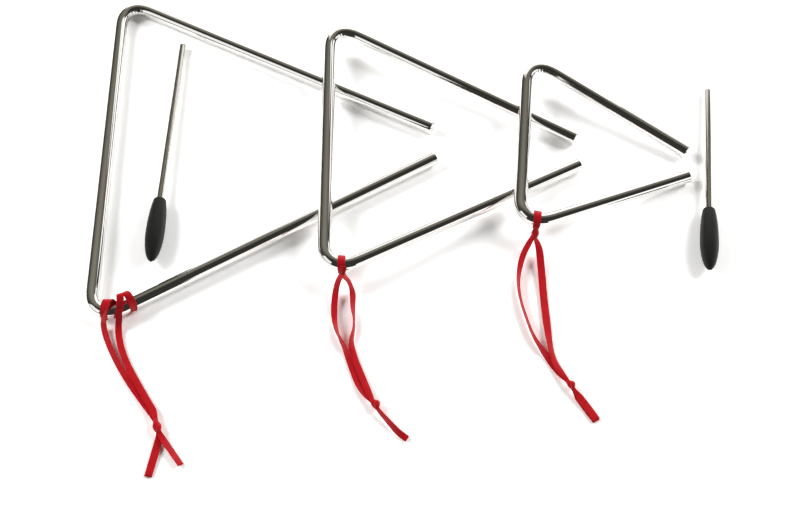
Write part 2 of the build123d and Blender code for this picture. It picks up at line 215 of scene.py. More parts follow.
def bent_rod(name, triangle, material):
    """The rod's surface: rings of RING_POINTS round the triangle's centreline. On a bend the ring is
    pinched and wrinkled on its inside by a sum of two cosines along the rod, and a little flat outside."""
    marks, *fine = triangle.centreline()
    steps = (STRAIGHT_STEP, BEND_STEP, STRAIGHT_STEP, BEND_STEP, STRAIGHT_STEP)
    spans = [np.linspace(a, b, round((b - a) / k), False) for a, b, k in zip(marks, marks[1:], steps)]
    total = marks[-1]
    end_r = ROD_R - END_DROP
    body = np.concatenate(spans)
    body = body[(body > END_KEPT_CLEAR) & (body < total - END_KEPT_CLEAR)]
    run = np.concatenate([END_RUN, body, total - END_RUN[::-1]])
    radius = np.concatenate([end_r, np.full(len(body), ROD_R), end_r[::-1]])
    x, y, way = (np.interp(run, fine[0], c) for c in fine[1:])

    round_angle = np.linspace(0, 2 * pi, RING_POINTS, endpoint=False)[None, :]
    inside = np.clip(-np.cos(round_angle), 0, 1) ** 3
    bend = np.zeros(len(run))
    for start in (marks[1], marks[3]):
        share = np.clip((run - start) / BEND_LENGTH, 0, 1)
        bend = bend + np.sin(pi * share) ** 4
    coarse = np.cos(2 * pi * run / WRINKLE_PITCH)
    wrinkle = coarse + 0.5 * np.cos(2 * pi * run / FINE_WRINKLE_PITCH + 1.0)
    dent = (bend**2 * (PINCH + WRINKLE * wrinkle))[:, None] * inside
    flat = OUTSIDE_FLAT * (bend[:, None] * np.clip(np.cos(round_angle), 0, 1) ** 2)
    reach = radius[:, None] - dent - flat
    out = reach * np.cos(round_angle)
    points = triangle.world(
        x[:, None] + out * np.sin(way)[:, None],
        y[:, None] - out * np.cos(way)[:, None],
        reach * np.sin(round_angle),
    )
    uv = np.stack(np.broadcast_arrays(round_angle * ROD_R, run[:, None]), axis=-1)
    return grid_mesh(name, points[:, ::-1], uv[:, ::-1], material)


def drawn_metal_group():
    """Polishing and drawing marks on bar: noise stretched along the bar gives fine lines, and a coarser
    noise gives the slow clouding of a handled surface."""
    group = bpy.data.node_groups.new("drawn_metal", "ShaderNodeTree")
    for name in ("Line Scale", "Cloud Scale", "Least Roughness", "Most Roughness"):
        group.interface.new_socket(name, in_out="INPUT", socket_type="NodeSocketFloat")
    group.interface.new_socket("Roughness", in_out="OUTPUT", socket_type="NodeSocketFloat")
    group.interface.new_socket("Height", in_out="OUTPUT", socket_type="NodeSocketFloat")
    given = group.nodes.new("NodeGroupInput")
    result = group.nodes.new("NodeGroupOutput")
    place = node(group, "ShaderNodeUVMap", uv_map="UVMap")
    stretch = node(group, "ShaderNodeMapping", Scale=(1.0, 0.012, 1.0))
    lines = node(group, "ShaderNodeTexNoise", Detail=4.0)
    clouds = node(group, "ShaderNodeTexNoise", Detail=3.0)
    blend = node(group, "ShaderNodeMath", operation="MULTIPLY")
    spread = node(group, "ShaderNodeMapRange")
    link = group.links.new
    link(place.outputs["UV"], stretch.inputs["Vector"])
    link(stretch.outputs["Vector"], lines.inputs["Vector"])
    link(place.outputs["UV"], clouds.inputs["Vector"])
    link(given.outputs["Line Scale"], lines.inputs["Scale"])
    link(given.outputs["Cloud Scale"], clouds.inputs["Scale"])
    link(lines.outputs["Fac"], blend.inputs[0])
    link(clouds.outputs["Fac"], blend.inputs[1])
    link(blend.outputs["Value"], spread.inputs["Value"])
    spread.inputs["From Min"].default_value = 0.12
    spread.inputs["From Max"].default_value = 0.4
    link(given.outputs["Least Roughness"], spread.inputs["To Min"])
    link(given.outputs["Most Roughness"], spread.inputs["To Max"])
    link(spread.outputs["Result"], result.inputs["Roughness"])
    link(lines.outputs["Fac"], result.inputs["Height"])
    return group


drawn_metal = drawn_metal_group()


def bar_metal(name, colour, lines, clouds, roughness, depth):
    """Metal bar: one colour all over, with the drawn metal group's roughness and its lines as a bump."""
    made, tree, shader = new_material(name)
    marks = tree.nodes.new("ShaderNodeGroup")
    marks.node_tree = drawn_metal
    for key, value in zip(
        ("Line Scale", "Cloud Scale", "Least Roughness", "Most Roughness"), (lines, clouds, *roughness)
    ):
        marks.inputs[key].default_value = value
    bump = node(tree, "ShaderNodeBump", Strength=0.2, Distance=depth)
    tree.links.new(marks.outputs["Height"], bump.inputs["Height"])
    tree.links.new(bump.outputs["Normal"], shader.inputs["Normal"])
    tree.links.new(marks.outputs["Roughness"], shader.inputs["Roughness"])
    shader.inputs["Base Color"].default_value = colour
    shader.inputs["Metallic"].default_value = 1.0
    return made


chrome = bar_metal("chrome_plate", CHROME, 6.0, 0.12, (0.02, 0.07), 0.000002)
for size, triangle in TRIANGLES.items():
    rod = bent_rod(f"{size}_bent_rod", triangle, chrome)
    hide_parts(f"{size}_rod")
    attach(rod, f"{size}_triangle")


# Ribbon loops: one length of 3 mm red polyester satin on each triangle, hitched round the rod at its
# lower bend, with both strands led away over the table and tied together in an overhand knot.
RIBBON_W = 3.0
RIBBON_T = 0.3
SECTION = np.array((-1, -0.985, -0.95, -0.88, -0.8, -0.55, -0.25, 0, 0.25, 0.55, 0.8, 0.88, 0.95, 0.985, 1))
SELVEDGE = 0.05
SELVEDGE_AT = 0.92
SELVEDGE_WIDTH = 0.06
STRAND_CUP = 0.12
STRIP_RESOLUTION = 14
SATIN_RED = (0.55, 0.008, 0.014, 1)
SATIN_DEEP = (0.36, 0.005, 0.01, 1)


def smooth_line(route):
    """Points read from a NURBS spline that has the route's points, in millimetres, as control points."""
    curve = bpy.data.curves.new("route", "CURVE")
    curve.dimensions = "3D"
    spline = curve.splines.new("NURBS")
    spline.points.add(len(route) - 1)
    for point, place in zip(spline.points, route):
        point.co = (*(c * MM for c in place), 1)
    spline.order_u = 3
    spline.use_endpoint_u = True
    spline.resolution_u = STRIP_RESOLUTION
    carrier = bpy.data.objects.new("route", curve)
    scene.collection.objects.link(carrier)
    bpy.context.view_layer.update()
    line = bpy.data.meshes.new_from_object(carrier)
    points = np.zeros(len(line.vertices) * 3, dtype=np.float32)
    line.vertices.foreach_get("co", points)
    bpy.data.objects.remove(carrier)
    bpy.data.curves.remove(curve)
    bpy.data.meshes.remove(line)
    return points.reshape(-1, 3).astype(float) / MM


def along_route(values, samples):
    """Values at the control points, spread over the samples by each point's middle knot on the spline."""
    spans = len(values) - 2
    middles = np.concatenate([[0], np.arange(spans) + 0.5, [spans]])
    return np.interp(np.linspace(0, spans, samples), middles, values)


def ribbon_surface(name, line, face_way, width, cup=0.0):
    """A ribbon carried along a line: across it runs a flat section with thicker woven edges, bowed by
    cup at its middle, with its face turned to face_way at every point."""
    ahead = unit(np.gradient(line, axis=0))
    across = unit(np.cross(face_way, ahead))
    face = np.cross(ahead, across)
    edge = np.exp(-(((np.abs(SECTION) - SELVEDGE_AT) / SELVEDGE_WIDTH) ** 2))
    half = RIBBON_T / 2 + SELVEDGE * edge
    half[[0, -1]] = RIBBON_T / 5
    side = np.concatenate([SECTION, SECTION[::-1]])
    rise = np.concatenate([half, -half[::-1]])
    bow = cup * (1 - side**2)[None, :]
    points = (
        line[:, None, :]
        + across[:, None, :] * (side[None, :, None] * width[:, None, None] / 2)
        + face[:, None, :] * (rise[None, :] + bow)[:, :, None]
    )
    run = np.concatenate([[0], np.cumsum(np.linalg.norm(np.diff(line, axis=0), axis=1))])
    uv = np.stack(np.broadcast_arrays(side[None, :] * RIBBON_W / 2, run[:, None]), axis=-1)
    return grid_mesh(name, points[:, ::-1], uv[:, ::-1], red_satin)


def satin():
    """Warp-faced satin: long floats along the ribbon, broken by fine weft lines across it, with slow
    changes of tone along its length."""
    made, tree, shader = new_material("red_satin")
    place = node(tree, "ShaderNodeUVMap", uv_map="UVMap")
    weft = node(tree, "ShaderNodeTexWave", bands_direction="Y", Scale=1.6, Distortion=0.6)
    weft.inputs["Detail Scale"].default_value = 4.0
    stretch = node(tree, "ShaderNodeMapping", Scale=(14.0, 0.6, 1.0))
    warp = node(tree, "ShaderNodeTexNoise", Scale=1.0, Detail=3.0)
    tone = node(tree, "ShaderNodeTexNoise", Scale=0.22, Detail=2.0)
    mixed = node(tree, "ShaderNodeMix", data_type="RGBA")
    mixed.inputs[6].default_value = SATIN_DEEP
    mixed.inputs[7].default_value = SATIN_RED
    lift = node(tree, "ShaderNodeMath", operation="MULTIPLY_ADD")
    lift.inputs[1].default_value = 0.5
    height = node(tree, "ShaderNodeMath", operation="MULTIPLY_ADD")
    height.inputs[1].default_value = 0.6
    bump = node(tree, "ShaderNodeBump", Strength=0.25, Distance=0.00004)
    link = tree.links.new
    link(place.outputs["UV"], weft.inputs["Vector"])
    link(place.outputs["UV"], stretch.inputs["Vector"])
    link(place.outputs["UV"], tone.inputs["Vector"])
    link(stretch.outputs["Vector"], warp.inputs["Vector"])
    link(warp.outputs["Fac"], lift.inputs[0])
    link(tone.outputs["Fac"], lift.inputs[2])
    link(lift.outputs["Value"], mixed.inputs[0])
    link(mixed.outputs[2], shader.inputs["Base Color"])
    link(weft.outputs["Fac"], height.inputs[0])
    link(warp.outputs["Fac"], height.inputs[2])
    link(height.outputs["Value"], bump.inputs["Height"])
    link(bump.outputs["Normal"], shader.inputs["Normal"])
    shader.inputs["Roughness"].default_value = 0.46
    shader.inputs["Specular IOR Level"].default_value = 0.3
    shader.inputs["Sheen Weight"].default_value = 0.06
    shader.inputs["Sheen Roughness"].default_value = 0.4
    shader.inputs["Sheen Tint"].default_value = (1.0, 0.45, 0.45, 1)
    return made


red_satin = satin()

# Each strand as x, y from its hitch, z off the table, degrees it is turned from lying flat, and the
# share of its full width that it is gathered to. It runs from the hitch through the knot to the cut end.
LARGE_AT = (-141.743, -98.929)
LARGE_LEFT = [
    (-1.5, 3.0, 7.6, 30, 0.95),
    (-1.8, 1.3, 6.7, 28, 0.95),
    (-2.3, -0.3, 4.3, 22, 0.95),
    (-2.6, -1.7, 1.9, 20, 0.95),
    (-1.9, -5.5, 0.5, 26, 0.95),
    (1.7, -14.7, 0.45, 32, 0.95),
    (6.8, -24.4, 0.45, 24, 0.95),
    (11.8, -32.3, 0.4, 8, 1.0),
    (16.8, -39.7, 0.45, 0, 1.0),
    (20.9, -45.9, 0.9, -12, 0.95),
    (22.9, -49.6, 1.5, -15, 0.7),
    (24.0, -52.8, 1.6, -10, 0.4),
    (25.0, -56.1, 1.5, 0, 0.7),
    (24.9, -59.6, 0.7, 5, 1.15),
    (23.7, -65.4, 0.4, 5, 1.15),
    (21.6, -75.4, 0.4, 0, 1.1),
]
LARGE_RIGHT = [
    (4.7, 2.5, 7.7, -10, 0.9),
    (4.6, 1.3, 6.5, -10, 0.92),
    (4.4, -0.5, 4.1, -8, 0.96),
    (4.0, -2.4, 1.9, -6, 1.0),
    (4.2, -6.2, 0.8, 0, 1.0),
    (5.9, -13.8, 1.0, -6, 1.0),
    (9.7, -23.0, 1.05, -4, 1.0),
    (14.1, -31.1, 1.05, 0, 1.0),
    (19.3, -40.5, 1.1, 0, 1.0),
    (22.3, -45.6, 1.85, 10, 1.0),
    (23.3, -49.6, 2.3, 15, 0.7),
    (24.2, -52.8, 2.3, 10, 0.4),
    (25.4, -56.2, 2.2, 0, 0.7),
    (27.4, -59.5, 1.4, -20, 1.0),
    (30.8, -64.5, 0.8, -25, 1.0),
    (34.9, -70.7, 0.6, -25, 0.95),
]
MEDIUM_AT = (-38.042, -76.063)
MEDIUM_LEFT = [
    (0.7, -3.2, 12.9, 0, 1.05),
    (0.3, -4.3, 11.3, 0, 1.05),
    (-0.1, -4.7, 9.6, 4, 1.05),
    (-0.5, -5.0, 8.1, 8, 1.05),
    (-1.1, -5.4, 6.8, 14, 1.0),
    (-1.8, -6.2, 5.4, 18, 0.95),
    (-2.6, -8.2, 3.7, 20, 0.95),
    (-3.4, -12.6, 2.0, 12, 1.0),
    (-4.0, -19.0, 1.0, 10, 1.0),
    (-3.6, -26.9, 1.2, 52, 1.0),
    (-2.2, -33.0, 1.6, 84, 1.0),
    (0.2, -38.2, 1.4, 62, 1.0),
    (3.2, -47.6, 0.45, 5, 1.0),
    (5.7, -56.2, 0.45, 0, 1.05),
    (8.5, -62.0, 0.9, -12, 1.0),
    (10.8, -65.2, 1.5, -15, 0.75),
    (12.7, -67.9, 1.6, -10, 0.4),
    (14.1, -70.6, 1.6, 50, 0.5),
    (16.7, -74.2, 1.5, 64, 0.75),
    (19.5, -77.9, 1.3, 54, 0.8),
    (22.5, -81.8, 0.9, 34, 0.85),
    (26.0, -84.4, 0.5, 10, 0.85),
]
MEDIUM_RIGHT = [
    (-0.7, -3.5, 13.1, 0, 1.05),
    (-0.1, -4.75, 11.5, 0, 1.05),
    (0.5, -5.2, 9.8, -4, 1.05),
    (1.1, -5.5, 8.4, -8, 1.05),
    (1.9, -5.8, 7.1, -16, 1.0),
    (2.9, -6.4, 5.8, -28, 0.95),
    (4.0, -8.2, 4.2, -36, 0.9),
    (4.8, -11.4, 2.6, -25, 1.0),
    (4.5, -18.0, 1.8, -45, 1.0),
    (5.1, -25.6, 1.7, -74, 1.0),
    (4.6, -30.6, 1.7, -74, 1.0),
    (3.4, -35.2, 1.5, -50, 1.0),
    (3.9, -41.0, 1.0, -8, 1.0),
    (5.6, -47.4, 1.0, 0, 1.0),
    (8.5, -56.0, 1.0, 0, 1.0),
    (10.3, -61.7, 1.85, 10, 0.95),
    (11.4, -65.0, 2.5, 15, 0.75),
    (12.7, -67.9, 2.3, 10, 0.4),
    (14.4, -70.9, 2.3, 48, 0.55),
    (17.0, -74.2, 1.9, 62, 0.7),
    (19.8, -77.8, 1.7, 52, 0.75),
    (22.8, -81.6, 1.3, 32, 0.8),
    (26.1, -84.1, 1.0, 8, 0.8),
]
SMALL_AT = (53.43, -53.826)
SMALL_LEFT = [
    (-0.3, -4.5, 11.6, 15, 0.7),
    (-0.9, -4.9, 9.7, 30, 0.75),
    (-1.5, -5.3, 7.7, 45, 0.8),
    (-2.2, -6.3, 6.0, 30, 0.85),
    (-3.5, -8.2, 4.8, 18, 0.95),
    (-5.2, -10.9, 4.0, 12, 1.0),
    (-7.3, -14.8, 3.0, 15, 1.0),
    (-9.3, -21.2, 2.1, 40, 1.0),
    (-10.8, -29.6, 1.8, 72, 1.0),
    (-10.4, -39.1, 1.7, 84, 1.0),
    (-8.9, -47.4, 1.7, 86, 1.0),
    (-7.0, -56.6, 1.7, 86, 1.0),
    (-4.4, -62.8, 1.6, 74, 1.0),
    (-1.5, -68.0, 1.0, 36, 1.0),
    (1.0, -72.8, 0.5, 5, 1.0),
    (3.3, -77.3, 0.9, -12, 0.9),
    (5.3, -80.4, 1.5, -20, 0.6),
    (6.9, -83.1, 1.6, -10, 0.4),
    (8.3, -85.7, 1.5, 0, 0.55),
    (10.0, -88.8, 0.7, 5, 1.15),
    (12.4, -92.8, 0.4, 0, 1.25),
    (14.2, -96.2, 0.4, 0, 1.25),
    (16.4, -100.3, 0.4, 0, 1.15),
]
SMALL_RIGHT = [
    (-0.9, -4.8, 11.8, -15, 0.7),
    (-1.3, -5.1, 10.0, -35, 0.75),
    (-1.5, -5.8, 8.1, -45, 0.8),
    (-1.3, -6.7, 6.5, -30, 0.85),
    (-0.4, -8.2, 5.5, -18, 0.95),
    (0.5, -10.6, 4.6, -10, 1.1),
    (0.9, -14.8, 3.0, -4, 1.2),
    (0.9, -23.2, 1.2, -4, 1.2),
    (0.5, -36.1, 0.5, -8, 1.2),
    (0.4, -49.8, 0.5, -8, 1.2),
    (0.4, -59.8, 0.9, -22, 1.05),
    (0.7, -66.2, 1.2, -30, 1.0),
    (1.7, -71.8, 1.0, -10, 1.0),
    (3.6, -76.8, 1.85, 10, 0.9),
    (5.6, -80.4, 2.3, 20, 0.6),
    (7.0, -83.1, 2.3, 10, 0.4),
    (8.6, -86.0, 2.1, 0, 0.55),
    (10.3, -88.7, 1.3, 0, 1.1),
    (12.7, -92.7, 0.85, 0, 1.15),
    (14.5, -96.1, 0.85, 0, 1.15),
    (16.5, -99.9, 0.85, 0, 1.1),
]


def strand(name, at, route):
    """A free strand of ribbon: the route's spline, with its face turned from straight up about the line by
    the angle given at each point. Each point is held so high that its turned edge clears the table."""
    table = np.array(route, dtype=float)
    edge_drop = RIBBON_W / 2 * table[:, 4] * np.abs(np.sin(np.radians(table[:, 3])))
    table[:, 2] = np.maximum(table[:, 2], edge_drop + RIBBON_T)
    line = smooth_line(table[:, :3] + (*at, 0))
    turned = np.radians(along_route(table[:, 3], len(line)))[:, None]
    width = RIBBON_W * along_route(table[:, 4], len(line))
    ahead = unit(np.gradient(line, axis=0))
    beside = unit(np.cross(ahead, (0.0, 0.0, 1.0)))
    lift = np.cross(beside, ahead)
    face = lift * np.cos(turned) + beside * np.sin(turned)
    return ribbon_surface(name, line, face, width, STRAND_CUP), line


def beside_bend(triangle, along, turn, reach):
    """Places round the rod at the lower bend, and the way out from the rod there: along is a length of rod
    from the bend's lowest point, turn is 0 at the outside of the frame and 90 on top, and reach is off
    the rod's surface."""
    _, run, *line = triangle.centreline()
    lowest = np.interp(2 * pi, line[2], run)
    x, y, angle = (np.interp(lowest + along, run, c) for c in line)
    flat = np.cos(np.radians(turn))
    way_x, way_y, way_z = np.sin(angle) * flat, -np.cos(angle) * flat, np.sin(np.radians(turn))
    off = ROD_R + reach
    places = triangle.world(x + off * way_x, y + off * way_y, off * way_z)
    centres = triangle.world(x, y, np.zeros_like(x))
    return places, unit(places - centres)


def hitch_band(name, triangle, route):
    """Ribbon laid round the rod by a route of along, turn, reach and share of its width, facing outwards
    from the rod all the way."""
    table = np.array(route, dtype=float)
    places, outward = beside_bend(triangle, table[:, 0], table[:, 1], table[:, 2])
    line = smooth_line(places)
    face = unit(np.stack([along_route(outward[:, k], len(line)) for k in range(3)], axis=-1))
    return ribbon_surface(name, line, face, RIBBON_W * along_route(table[:, 3], len(line)))


# Each hitch as along, turn, reach and share of the ribbon's width. The medium and small ones share one
# drawn band, and each has its own place along the rod and the extra reach that lets it turn on the bend.
LARGE_HITCH = [
    (-1.2, -30, 0.3, 0.85),
    (-1.4, 8, 0.35, 1.0),
    (-1.4, 42, 0.7, 1.15),
    (-1.2, 80, 1.7, 1.3),
    (-0.6, 118, 2.9, 1.35),
    (0.9, 146, 2.4, 1.3),
    (2.7, 172, 0.6, 1.1),
    (4.1, 206, 0.25, 0.95),
    (5.9, 246, 0.22, 0.9),
    (7.7, 286, 0.22, 0.9),
    (9.3, 326, 0.25, 0.95),
    (10.2, 362, 0.35, 1.0),
    (10.4, 396, 0.7, 1.15),
    (10.4, 430, 1.8, 1.2),
    (10.3, 462, 3.2, 1.15),
    (9.8, 484, 3.4, 1.1),
    (8.8, 494, 2.8, 1.1),
    (7.8, 484, 3.9, 1.1),
    (7.0, 464, 5.2, 1.1),
    (5.6, 440, 2.9, 1.1),
    (4.3, 408, 0.9, 1.05),
    (3.2, 378, 0.35, 1.0),
    (2.7, 348, 0.3, 0.9),
]
DRAWN_HITCH = [
    (0.3, -62, 0.5, 0.8),
    (0.25, -30, 0.5, 0.95),
    (0.2, 10, 0.55, 1.1),
    (0.0, 50, 0.6, 1.15),
    (-0.2, 90, 0.6, 1.15),
    (-0.2, 130, 0.55, 1.15),
    (-0.1, 170, 0.5, 1.1),
    (0.0, 210, 0.5, 1.0),
    (0.2, 250, 0.5, 0.9),
    (0.3, 285, 0.6, 0.8),
]
MEDIUM_HITCH = (-0.55, 0.55)
SMALL_HITCH = (-0.65, 0.58)

for size, at, left_route, right_route in (
    ("large", LARGE_AT, LARGE_LEFT, LARGE_RIGHT),
    ("medium", MEDIUM_AT, MEDIUM_LEFT, MEDIUM_RIGHT),
    ("small", SMALL_AT, SMALL_LEFT, SMALL_RIGHT),
):
    for hand, route in (("left", left_route), ("right", right_route)):
        piece, line = strand(f"{size}_{hand}_ribbon", at, route)
        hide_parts(f"{size}_ribbon_{hand}_strand", f"{size}_ribbon_{hand}_tail")
        if size == "large":
            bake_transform(piece)
        else:
            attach(piece, f"{size}_ribbon_loop")

large_hitch = hitch_band("large_hitch", TRIANGLES["large"], LARGE_HITCH)
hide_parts("large_ribbon_wrap", "large_ribbon_bight")
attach(large_hitch, "large_triangle")

for size, (along, slack) in (("medium", MEDIUM_HITCH), ("small", SMALL_HITCH)):
    route = [(along + a, turn, reach + slack, share) for a, turn, reach, share in DRAWN_HITCH]
    hitch = hitch_band(f"{size}_hitch", TRIANGLES[size], route)
    nodes = ("wrap", "neck") if size == "medium" else ("wrap",)
    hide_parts(*(f"{size}_ribbon_{part}" for part in nodes))
    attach(hitch, f"{size}_ribbon_loop")

# Knots: both strands are tied together in one overhand knot and pulled tight, so that the ribbon's turns
# close up into a lump with two slanting lobes. The small triangle's neck is drawn up in the same way, and
# on the medium one the strands cross right on the band, so the band stands for the neck too.
KNOT_Z = 2.0
KNOT_NECK = 0.6
KNOT_RIDGE = 0.18
KNOT_CREASE = 0.16
CREASE_WIDTH = 0.2
KNOT_FLAT = 0.9
KNOT_RINGS = 60
KNOT_AROUND = 48


def tied_lump(name, start, end, radius, slant, phase, lean):
    """A closed lump about the line from start to end, fullest past its middle, where its line is pushed
    aside by lean. Two ridges run round it at a slant, with a crease in each hollow between them."""
    run = np.linspace(0, 1, KNOT_RINGS)[:, None]
    angle = np.linspace(0, 2 * pi, KNOT_AROUND, endpoint=False)[None, :]
    axis = unit(end - start)
    beside = unit(np.cross(axis, (0.0, 0.0, 1.0)))
    lift = np.cross(beside, axis)
    fullness = np.sin(pi * run**1.3)
    swell = KNOT_NECK + (radius - KNOT_NECK) * fullness**0.7
    turned = 2 * (angle - radians(phase)) + 2 * pi * slant * run
    crease = np.exp(-(((np.cos(turned) + 1) / CREASE_WIDTH) ** 2))
    reach = swell * (1 + fullness * (KNOT_RIDGE * np.cos(turned) - KNOT_CREASE * crease))
    line = start + (end - start) * run + beside * lean * fullness
    off = beside * np.cos(angle)[..., None] + lift * np.sin(angle)[..., None] * KNOT_FLAT
    points = line[:, None, :] + off * reach[..., None]
    uv = np.stack(np.broadcast_arrays(angle * radius, turned * 2), axis=-1)
    return grid_mesh(name, points, uv, red_satin)


for size, at, middle, heading, length, radius, slant, phase, lean in (
    ("large", LARGE_AT, (24.1, -52.8), (0.29, -0.957), 7.0, 1.65, 0.8, 60, 0.0),
    ("medium", MEDIUM_AT, (12.7, -67.9), (0.468, -0.884), 5.4, 1.8, 0.7, 20, -0.6),
    ("small", SMALL_AT, (6.9, -83.1), (0.49, -0.87), 5.0, 1.6, 0.7, 20, -0.6),
):
    centre = np.array((at[0] + middle[0], at[1] + middle[1], KNOT_Z))
    reach = unit(np.array((*heading, 0.0))) * length / 2
    knot = tied_lump(f"{size}_knot", centre - reach, centre + reach, radius, slant, phase, lean)
    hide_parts(f"{size}_ribbon_knot")
    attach(knot, f"{size}_ribbon_loop")

NECK_START = np.array((53.1, -58.2, 10.4))
NECK_END = np.array((51.5, -60.7, 4.9))
neck = tied_lump("small_neck", NECK_START, NECK_END, 1.95, 0.9, 30, 0.0)
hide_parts("small_ribbon_neck")
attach(neck, "small_ribbon_loop")


# Beaters: a drawn steel bar, cut off with a small burr at its striking end, and pressed into a moulded
# black rubber grip. The mould's halves leave a thin line along the grip. The shaft's two cut ends are given
# as runs from the end, and what the radius drops or rises there.
SHAFT_R = 1.75
GRIP_R = 4.4
GRIP_NOSE = 16.5
GRIP_SHOULDER = 19.5
GRIP_NECK_R = 2.9
NECK_ROUND = 1.0
SHAFT_IN_GRIP = 29.0
BURR = 0.12
CUT_RUN = np.array((0.0, 0.0, 0.03, 0.15, 0.3, 0.4))
BACK_DROP = np.array((1.0, 0.3, 0.26, 0.14, 0.0, 0.0))
TIP_RISE = np.array((-1.0, -0.12, BURR * 0.3, BURR * 0.5, 0.0, 0.0))
CUT_KEPT_CLEAR = 4.0
SHAFT_RINGS = 40
NOSE_START = 0.03
NOSE_RINGS = 28
SHOULDER_STOP = 0.06
SHOULDER_RINGS = 24
LIP_RINGS = 6
MOUTH_EASE = 0.05
MOULD_LINE = 0.03
MOULD_LINE_WIDTH = 0.06
MOULD_LINE_AT = 0.9
STEEL = (0.76, 0.74, 0.7, 1)
RUBBER = (0.011, 0.011, 0.01, 1)
RUBBER_DUST = (0.02, 0.02, 0.018, 1)


class Beater:
    """Where one beater lies: its axis runs from the grip's nose to the tip and touches the table at the
    grip's fullest place and at the tip."""

    def __init__(self, nose, turn, length):
        drop = asin((GRIP_R - SHAFT_R) / (length - GRIP_NOSE))
        heading = radians(turn)
        shoulder = GRIP_SHOULDER / cos(asin(GRIP_NECK_R / GRIP_R))
        rest = sqrt((GRIP_R * cos(drop)) ** 2 + (shoulder * sin(drop)) ** 2)
        self.nose = np.array((*nose, rest + GRIP_NOSE * sin(drop)))
        self.ahead = np.array((cos(heading) * cos(drop), sin(heading) * cos(drop), -sin(drop)))
        self.beside = np.array((sin(heading), -cos(heading), 0.0))
        self.lift = np.cross(self.beside, self.ahead)

    def turned(self, name, run, radius, material, around=64, ridge=0.0):
        """A turned form: rings of the given radius at each run along the axis, with two thin ridges along
        opposite sides where a mould's halves met."""
        angle = np.linspace(0, 2 * pi, around, endpoint=False)[None, :]
        line = ridge * np.exp(-((np.sin(angle - MOULD_LINE_AT) / MOULD_LINE_WIDTH) ** 2))
        reach = radius[:, None] + line * np.clip(radius[:, None] / GRIP_NECK_R, 0, 1)
        points = (
            self.nose
            + self.ahead * run[:, None, None]
            + self.beside * (reach * np.cos(angle))[:, :, None]
            + self.lift * (reach * np.sin(angle))[:, :, None]
        )
        uv = np.stack(np.broadcast_arrays(angle * GRIP_R, run[:, None]), axis=-1)
        return grid_mesh(name, points, uv, material)


def moulded_rubber():
    """Matte black rubber: a fine moulded grain, and pale dust held in the low places of a slow noise."""
    made, tree, shader = new_material("moulded_rubber")
    place = node(tree, "ShaderNodeTexCoord")
    grain = node(tree, "ShaderNodeTexNoise", Scale=2600.0, Detail=4.0)
    dust = node(tree, "ShaderNodeTexNoise", Scale=260.0, Detail=5.0)
    mixed = node(tree, "ShaderNodeMix", data_type="RGBA")
    mixed.inputs[6].default_value = RUBBER
    mixed.inputs[7].default_value = RUBBER_DUST
    rough = node(tree, "ShaderNodeMapRange")
    rough.inputs["To Min"].default_value = 0.42
    rough.inputs["To Max"].default_value = 0.6
    bump = node(tree, "ShaderNodeBump", Strength=0.3, Distance=0.00003)
    link = tree.links.new
    link(place.outputs["Object"], grain.inputs["Vector"])
    link(place.outputs["Object"], dust.inputs["Vector"])
    link(dust.outputs["Fac"], mixed.inputs[0])
    link(dust.outputs["Fac"], rough.inputs["Value"])
    link(mixed.outputs[2], shader.inputs["Base Color"])
    link(rough.outputs["Result"], shader.inputs["Roughness"])
    link(grain.outputs["Fac"], bump.inputs["Height"])
    link(bump.outputs["Normal"], shader.inputs["Normal"])
    shader.inputs["Specular IOR Level"].default_value = 0.22
    return made


steel = bar_metal("drawn_steel", STEEL, 9.0, 0.3, (0.05, 0.14), 0.000004)
rubber = moulded_rubber()
for name, nose, turn, length in (
    ("long_beater", (-125.217, -68.705), 87.0, 138.6),
    ("short_beater", (131.914, -79.843), 79.8, 114.8),
):
    beater = Beater(nose, turn, length)
    seat = GRIP_NOSE + GRIP_SHOULDER - SHAFT_IN_GRIP
    body = np.linspace(seat + CUT_KEPT_CLEAR, length - CUT_KEPT_CLEAR, SHAFT_RINGS)
    shaft_run = np.concatenate([seat + CUT_RUN, body, length - CUT_RUN[::-1]])
    shaft_r = np.concatenate([SHAFT_R - BACK_DROP, np.full(SHAFT_RINGS, SHAFT_R), SHAFT_R + TIP_RISE[::-1]])
    shaft = beater.turned(f"{name}_bar", shaft_run, shaft_r, steel)
    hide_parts(f"{name}_shaft")
    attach(shaft, name)

    mouth = GRIP_NOSE + GRIP_SHOULDER
    nose_angle = np.linspace(NOSE_START, pi / 2, NOSE_RINGS, endpoint=False)
    neck_angle = asin(GRIP_NECK_R / GRIP_R)
    shoulder_angle = np.linspace(pi / 2, neck_angle + SHOULDER_STOP, SHOULDER_RINGS)
    shoulder_reach = GRIP_SHOULDER / cos(neck_angle)
    lip = np.linspace(0, pi / 2, LIP_RINGS + 1)[1:]
    neck_top = GRIP_R * sin(shoulder_angle[-1])
    grip_run = np.concatenate(
        [
            GRIP_NOSE * (1 - np.cos(nose_angle)),
            GRIP_NOSE + shoulder_reach * np.cos(shoulder_angle),
            mouth - NECK_ROUND * (1 - np.sin(lip)),
            (mouth, mouth - MOUTH_EASE, seat),
        ]
    )
    grip_r = np.concatenate(
        [
            GRIP_R * np.sin(nose_angle),
            GRIP_R * np.sin(shoulder_angle),
            neck_top - NECK_ROUND * (1 - np.cos(lip)),
            (SHAFT_R + MOUTH_EASE, SHAFT_R, SHAFT_R),
        ]
    )
    grip = beater.turned(f"{name}_rubber", grip_run, grip_r, rubber, ridge=MOULD_LINE, around=96)
    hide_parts(f"{name}_grip")
    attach(grip, name)


